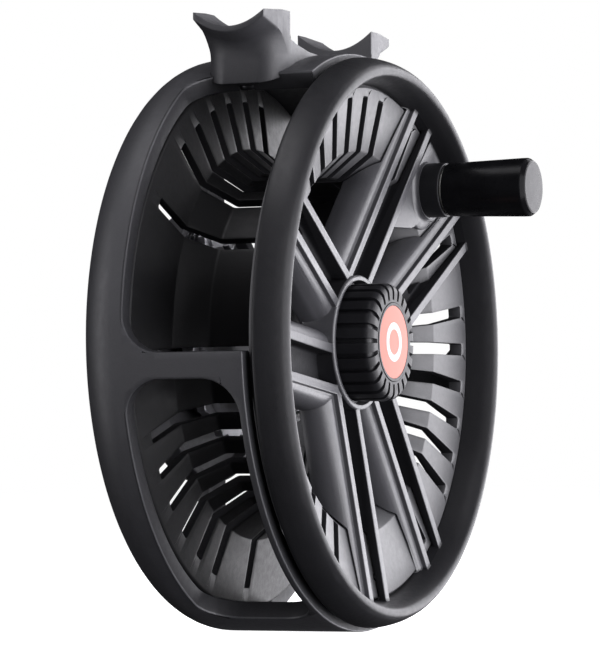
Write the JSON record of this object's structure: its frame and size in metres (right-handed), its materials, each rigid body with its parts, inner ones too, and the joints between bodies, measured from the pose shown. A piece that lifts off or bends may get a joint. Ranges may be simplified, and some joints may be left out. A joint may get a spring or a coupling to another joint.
{
  "type": "fly reel",
  "caption": "Large-arbor fly reel: cage frame with saddle foot, slotted spool with paired spokes, screw cap, crank handle and rear drag knob.",
  "frame": {"origin": "midway between the foot's two saddles, on the line of their lowest points, where the rod's reel seat rests", "axes": "+X along the foot, which is the rod's direction; +Y from the handle side to the drag knob side, along the spindle; +Z from the spool up through the foot to the rod"},
  "size_m": [0.1, 0.0646, 0.1062],
  "materials": {
    "charcoal_composite": "fine-grained matt charcoal moulding",
    "charcoal_spool": "fine-grained satin charcoal moulding",
    "black_cassette": "matt black moulding",
    "gloss_black": "polished black",
    "knob_black": "satin black",
    "bright_steel": "turned and polished",
    "black_screw_steel": "blackened",
    "sintered_bronze": "sintered, oiled",
    "woven_carbon_washer": "matt friction surface",
    "plain_alloy": "turned",
    "salmon_enamel": "plain enamel, no mark",
    "white_nylon": "natural",
    "black_rubber": "matt"
  },
  "bodies": {
    "frame": {"frame_cage": "charcoal_composite", "reel_foot": "charcoal_composite", "foot_screw_left": "black_screw_steel", "foot_screw_right": "black_screw_steel", "friction_washer_rear": "woven_carbon_washer", "knob_thrust_washer": "white_nylon", "pawl_pin": "bright_steel"},
    "draw_bolt": {"spindle": "bright_steel", "retaining_clip": "black_screw_steel", "disc_spring_front": "bright_steel", "disc_spring_back": "bright_steel", "pressure_plate": "plain_alloy", "friction_washer_front": "woven_carbon_washer"},
    "spool": {"spool_core": "charcoal_spool", "line_cassette": "black_cassette", "cassette_screw_1": "black_screw_steel", "cassette_screw_2": "black_screw_steel", "cassette_screw_3": "black_screw_steel", "bush_front": "sintered_bronze", "bush_back": "sintered_bronze", "one_way_clutch": "bright_steel", "drag_drum": "plain_alloy", "click_gear": "bright_steel", "handle_post": "bright_steel", "handle_washer": "white_nylon"},
    "handle": {"handle_grip": "gloss_black"},
    "cap_seal": {"cap_washer": "black_rubber"},
    "cap": {"spool_cap": "knob_black", "cap_badge": "salmon_enamel"},
    "knob": {"drag_knob": "knob_black", "knob_plug": "plain_alloy"},
    "pawl": {"click_pawl": "bright_steel", "click_spring": "bright_steel"}
  },
  "joints": [
    {"name": "drag_knob_turn", "type": "hinge", "parent": "frame", "child": "knob", "pos_m": [0, 0.02525, -0.053], "axis": [0, -1, 0], "range_deg": [0, 270]},
    {"name": "drag_bolt_travel", "type": "slide", "parent": "frame", "child": "draw_bolt", "axis": [0, 1, 0], "range_m": [0, 0.0005]},
    {"name": "spool_spin", "type": "hinge", "parent": "draw_bolt", "child": "spool", "pos_m": [0, 0.00025, -0.053], "axis": [0, 1, 0], "continuous": true},
    {"name": "handle_spin", "type": "hinge", "parent": "spool", "child": "handle", "pos_m": [0.02509, -0.02575, -0.02513], "axis": [0, 1, 0], "continuous": true},
    {"name": "cap_turn", "type": "hinge", "parent": "cap_seal", "child": "cap", "pos_m": [0, -0.01475, -0.053], "axis": [0, -1, 0], "range_deg": [0, 1080]},
    {"name": "cap_travel", "type": "slide", "parent": "spool", "child": "cap_seal", "axis": [0, -1, 0], "range_m": [0, 0.003]},
    {"name": "click_pawl_swing", "type": "hinge", "parent": "frame", "child": "pawl", "pos_m": [-0.009, 0.01265, -0.0351], "axis": [0, -1, 0], "range_deg": [0, 8], "stiffness_Nm_per_rad": 0.02, "springref_deg": -8.59}
  ],
  "couplings": [
    {"joint": "drag_knob_turn", "follows": "drag_bolt_travel", "rad_per_m": 9424.8},
    {"joint": "cap_turn", "follows": "cap_travel", "rad_per_m": 6283.2}
  ]
}
